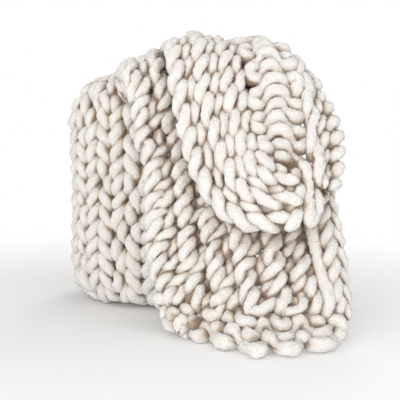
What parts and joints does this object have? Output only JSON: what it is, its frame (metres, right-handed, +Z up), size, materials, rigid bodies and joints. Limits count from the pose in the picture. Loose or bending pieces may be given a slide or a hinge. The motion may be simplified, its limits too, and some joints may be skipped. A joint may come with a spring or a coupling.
{
  "type": "throw blanket",
  "caption": "Cream throw blanket of thick hand-knitted chenille yarn, bundled upright with one side spilling over the front in a gathered swag down to a lumpy hem.",
  "frame": {"origin": "centre of the bundle's flat underside, on the floor", "axes": "+Z up, the spill hangs on the -Y side, +X to the right as seen from the spill's side"},
  "size_m": [0.4459, 0.6179, 0.47],
  "materials": {
    "yarn": "soft chenille pile",
    "yarn_inside": "soft chenille pile"
  },
  "bodies": {
    "bundle": {"base_fold": "yarn", "left_wrap": "yarn", "right_wrap": "yarn", "front_core": "yarn_inside", "middle_core": "yarn_inside", "back_core": "yarn_inside", "top_fold": "yarn", "left_shoulder": "yarn", "left_crest": "yarn", "under_crest": "yarn_inside", "middle_crest": "yarn", "right_crest": "yarn", "side_crest": "yarn"},
    "spill": {"left_roll": "yarn", "front_fall": "yarn", "right_fall": "yarn", "right_strip": "yarn", "hem": "yarn", "cast_on_edge": "yarn", "swag": "yarn", "inner_fold": "yarn", "loop_fold": "yarn", "right_fold": "yarn"}
  },
  "joints": [
    {"name": "spill_lift", "type": "hinge", "parent": "bundle", "child": "spill", "pos_m": [0.1, -0.15, 0.478], "axis": [-1, 0, 0], "range_deg": [0, 30]}
  ]
}
